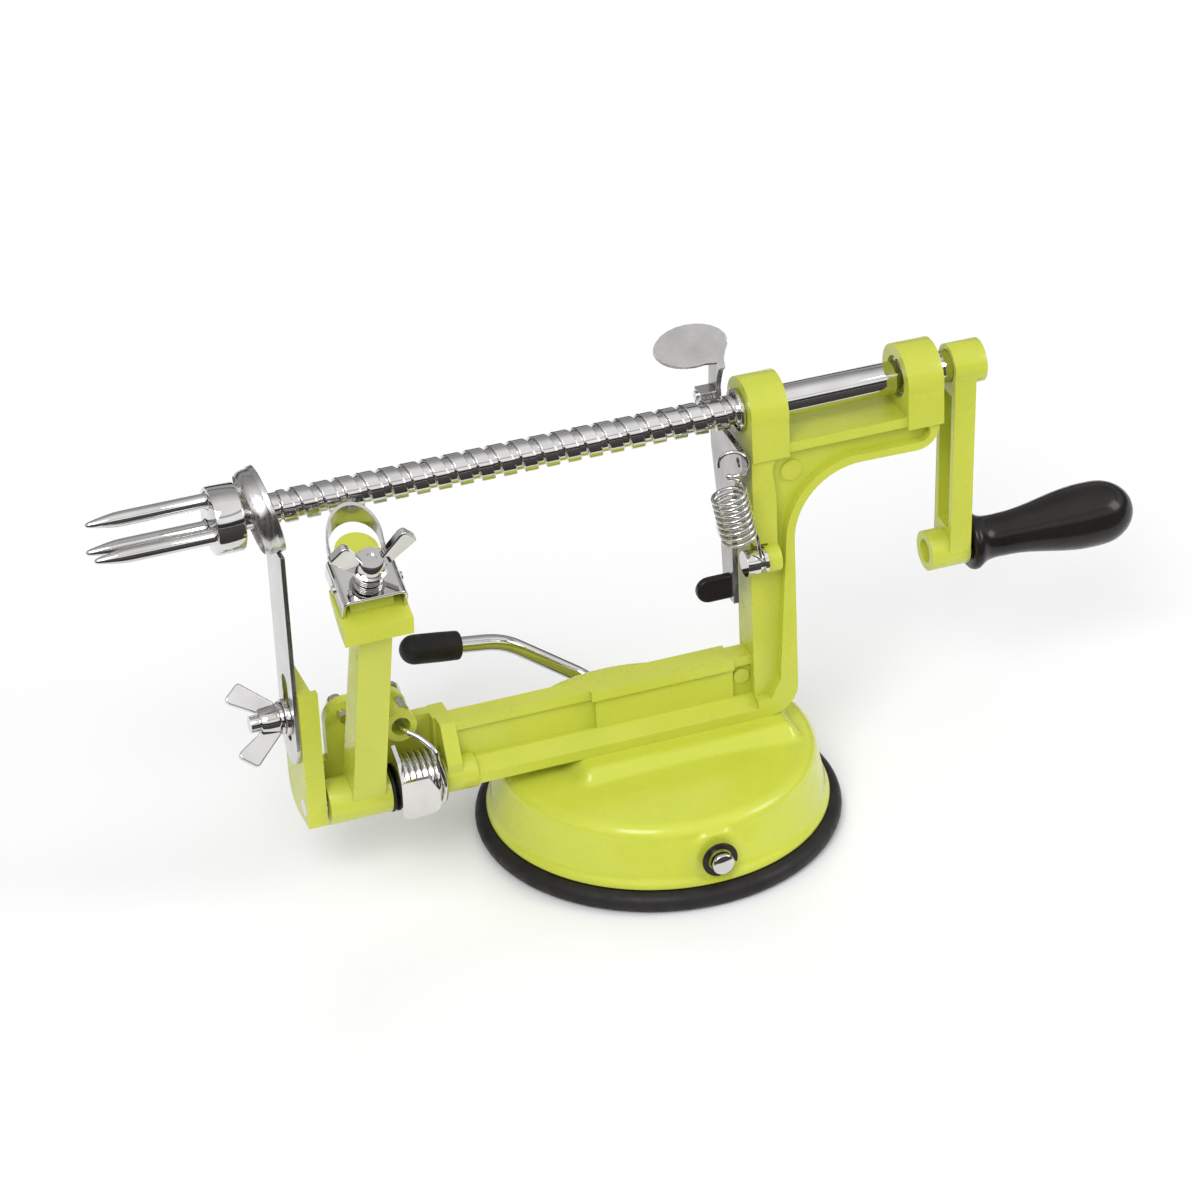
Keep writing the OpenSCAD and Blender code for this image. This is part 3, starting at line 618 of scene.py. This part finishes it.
# ---------------------------------------------------------------- wing nuts
def bracket_frame():
    """Matrix of the plate on top of the peeler arm; its local Z is the stud's axis."""
    return (Matrix.Translation(PIVOT) @ Matrix.Rotation(math.radians(ARM_LEAN), 4, "X")
            @ Matrix.Translation(BRACKET_FOOT)
            @ Matrix.Rotation(math.radians(BRACKET_TILT), 4, "X"))


def wing_nut(name, matrix, body, node, r, h, tip_r, tip_h):
    """Cast wing nut: a turned body with a flange, and two thick wings with soft edges."""
    wing_t = 2.4
    shape = [(0, 1.6), (0, r * 0.98), (0.45, r * 1.03), (1.1, r * 1.0), (1.5, r * 0.86),
             (2.1, r * 0.88), (h * 0.6, r * 0.86), (h - 0.5, r * 0.82), (h, r * 0.72), (h, 1.6)]
    obj = join_meshes(name, [lathe(shape, matrix, 48, True)], 40)
    wing = [(r * 0.5, h * 0.16), (r * 1.0, h * 0.22), (tip_r + 0.9, tip_h - 3.6),
            (tip_r + 2.1, tip_h - 2.4), (tip_r + 1.9, tip_h - 1.4), (tip_r - 1.2, tip_h + 2.3),
            (tip_r - 2.3, tip_h + 2.6), (tip_r - 3.3, tip_h + 1.7), (r * 0.5, h * 0.92)]
    for i, turn in enumerate((0, math.pi)):
        upright = (matrix @ Matrix.Rotation(turn, 4, "Z")
                   @ Matrix.Rotation(math.radians(90), 4, "X")
                   @ Matrix.Translation((0, 0, -wing_t / 2)))
        wing_obj = join_meshes(f"{name}_wing{i}", [prism(wing, wing_t, upright)])
        bevel(wing_obj, 0.6)
        piece(wing_obj, body, "chrome", CHROME)
    piece(obj, body, "chrome", CHROME, node)


# ---------------------------------------------------------------- release lever
def dark_tab_painted_reflection():
    """Black cover over the lever's lower tab, with a round free end: the tab's own dark grey metal,
    darkened to near-black as a painted reflection of dark surroundings.
    """
    outline = arc(17.2, 73.1, 3.8, 90, 270, 12) + [(24.4, 69.3), (24.4, 76.9)]
    matrix = Matrix.Translation((0, -0.9, 0)) @ Matrix.Rotation(math.radians(90), 4, "X")
    obj = join_meshes("tab_painted_reflection", [prism(outline, 2.6, matrix)])
    bevel(obj, 0.7, 4)
    # The black plastic here is a painted reflection of dark surroundings on the tab's metal, not a
    # coat.
    piece(obj, "release", "black_plastic", PLASTIC)


# ---------------------------------------------------------------- carried-over nodes
def dress():
    """Materials and rounded edges for the CAD nodes that stay in view."""
    looks = {
        "frame_casting": (PAINT, 0.7), "crank_arm": (PAINT, 0.7), "peeler_arm": (PAINT, 0.7),
        "rear_bush": (STEEL, 0.15), "front_bush": (CHROME, 0.2), "crank_screw": (STEEL, 0.4),
        "handle_bolt": (STEEL, 0.3), "handle_washer": (STEEL, 0.1),
        "release_lever": (DARK_STEEL, 0.25), "half_nut": (STEEL, 0.3), "nut_rivets": (CHROME, 0.2),
        "release_pin": (CHROME, 0.3), "spring_anchor": (CHROME, 0.3), "pivot_pin": (CHROME, 0.4),
        "pivot_clip": (RUBBER, 0.1), "arm_latch": (CHROME, 0.35), "stop_screws": (CHROME, 0.3),
        "blade_bracket": (CHROME, 0.3), "bracket_pin": (STEEL, 0.3), "blade_stud": (CHROME, 0.5),
        "slicer_stud": (CHROME, 0.4), "slicer_blade": (STEEL, 0.3), "slicer_washer": (CHROME, 0.3),
        "cup_plate": (STEEL, 0.2), "lift_yoke": (STEEL, 0.2), "cam": (STEEL, 0.2),
        "frame_screws": (STEEL, 0.3),
    }
    for name, (mat, width) in looks.items():
        obj = NODES[name]
        obj.data.materials.clear()
        obj.data.materials.append(mat)
        bevel(obj, width)


# ---------------------------------------------------------------- studio
WORLD_STRENGTH = 0.90
# How much brighter the surroundings are to reflections than to diffuse light
GLOSS_BOOST = 1.15


def dark_card(near_y, reach):
    """Black card on the floor in front of the object, in metres, seen only in reflections."""
    low = 0.0006
    mesh = bpy.data.meshes.new("dark_card")
    mesh.from_pydata([(-reach, near_y - reach, low), (reach, near_y - reach, low),
                      (reach, near_y, low), (-reach, near_y, low)], [], [(0, 1, 2, 3)])
    card = bpy.data.objects.new("dark_card", mesh)
    bpy.context.scene.collection.objects.link(card)
    card.data.materials.append(new_material("black_card", (0.03, 0.027, 0.025), 0.0, 0.9))
    card.visible_camera = False
    card.visible_diffuse = False
    card.visible_shadow = False
    card.visible_transmission = False


def studio():
    """Pale floor, banded surroundings that give the chrome its contrast, and three soft lamps."""
    scene = bpy.context.scene
    scene.view_settings.view_transform = "Standard"
    size = 12.0
    mesh = bpy.data.meshes.new("floor")
    mesh.from_pydata([(-size, -size, 0), (size, -size, 0), (size, size, 0), (-size, size, 0)],
                     [], [(0, 1, 2, 3)])
    floor = bpy.data.objects.new("floor", mesh)
    scene.collection.objects.link(floor)
    pale = new_material("studio_floor", (0.93, 0.93, 0.935), 0.0, 0.9)
    floor.data.materials.append(pale)

    world = bpy.data.worlds.new("studio")
    scene.world = world
    world.use_nodes = True
    nodes, links = world.node_tree.nodes, world.node_tree.links
    coord = nodes.new("ShaderNodeTexCoord")
    split = nodes.new("ShaderNodeSeparateXYZ")
    ramp = nodes.new("ShaderNodeValToRGB")
    # (height of the sky direction, brightness)
    bands = [(0.20, 0.04), (0.27, 1.10), (0.50, 1.10), (0.56, 0.30), (0.64, 1.05), (0.93, 1.0)]
    for i, (height, level) in enumerate(bands):
        stop = ramp.color_ramp.elements[i] if i < 2 else ramp.color_ramp.elements.new(height)
        stop.position = height
        stop.color = (level, level, level * 1.01, 1)
    behind = nodes.new("ShaderNodeMapRange")
    behind.inputs["From Min"].default_value = -0.15
    behind.inputs["From Max"].default_value = 0.45
    behind.inputs["To Min"].default_value = WORLD_STRENGTH
    behind.inputs["To Max"].default_value = WORLD_STRENGTH * 0.4
    links.new(coord.outputs["Generated"], split.inputs["Vector"])
    links.new(split.outputs["Z"], ramp.inputs["Fac"])
    links.new(split.outputs["Y"], behind.inputs["Value"])
    links.new(ramp.outputs["Color"], nodes["Background"].inputs["Color"])
    rays = nodes.new("ShaderNodeLightPath")
    boost = nodes.new("ShaderNodeMapRange")
    boost.inputs["To Min"].default_value = 1.0
    boost.inputs["To Max"].default_value = GLOSS_BOOST
    product = nodes.new("ShaderNodeMath")
    product.operation = "MULTIPLY"
    links.new(rays.outputs["Is Glossy Ray"], boost.inputs["Value"])
    links.new(boost.outputs["Result"], product.inputs[0])
    links.new(behind.outputs["Result"], product.inputs[1])
    links.new(product.outputs["Value"], nodes["Background"].inputs["Strength"])
    dark_card(-0.085, 4.0)

    for name, place, width, power in (("key", (-0.75, -1.05, 1.25), 0.75, 13.0),
                                      ("fill", (1.15, -0.65, 0.75), 0.55, 5.0),
                                      ("rim", (0.25, 1.25, 0.95), 0.8, 6.0)):
        data = bpy.data.lights.new(name, "AREA")
        data.shape = "SQUARE"
        data.size = width
        data.energy = power
        lamp = bpy.data.objects.new(name, data)
        lamp.location = place
        aim = Vector((0, 0, 0.07)) - Vector(place)
        lamp.rotation_euler = aim.to_track_quat("-Z", "Y").to_euler()
        lamp.visible_glossy = name != "rim"
        scene.collection.objects.link(lamp)


def camera():
    """Long lens from the front left, looking down."""
    turn, rise, roll = math.radians(-18.75), math.radians(30.44), math.radians(-2.75)
    distance, tx, ty = 1377.67, -17.240, 62.538
    back = Vector((math.sin(turn) * math.cos(rise), -math.cos(turn) * math.cos(rise),
                   math.sin(rise)))
    right = Vector((math.cos(turn), math.sin(turn), 0))
    up = back.cross(right)
    r2 = math.cos(roll) * right + math.sin(roll) * up
    u2 = -math.sin(roll) * right + math.cos(roll) * up
    place = (distance * back + tx * r2 + ty * u2) * MM
    data = bpy.data.cameras.new("camera")
    data.sensor_width = 36.0
    data.lens = 140.47
    data.clip_start = 0.05
    cam = bpy.data.objects.new("camera", data)
    cam.matrix_world = Matrix.Translation(place) @ Matrix((
        (r2.x, u2.x, back.x, 0), (r2.y, u2.y, back.y, 0), (r2.z, u2.z, back.z, 0), (0, 0, 0, 1)))
    bpy.context.scene.collection.objects.link(cam)
    bpy.context.scene.camera = cam


drive_shaft()
fork()
release_spring()
torsion_spring()
suction_base()
rubber_rim()
lever()
handle()
blade_spring()
blade_loop()
coring_ring()
# Black cover on the release tab: a painted reflection of dark surroundings.
dark_tab_painted_reflection()
wing_nut("blade_nut",
         bracket_frame() @ Matrix.Translation((0, 0, 3.6))
         @ Matrix.Rotation(math.radians(4), 4, "Z"),
         "blade_nut", "blade_wing_nut", 4.9, 5.4, 10.6, 11.6)
wing_nut("slicer_nut",
         Matrix.Translation((-111.1, 0, 61)) @ Matrix.Rotation(math.radians(-90), 4, "Y")
         @ Matrix.Rotation(math.radians(41), 4, "Z"),
         "slicer_nut", "slicer_wing_nut", 4.8, 6.9, 10.1, 12.0)
dress()
studio()
camera()
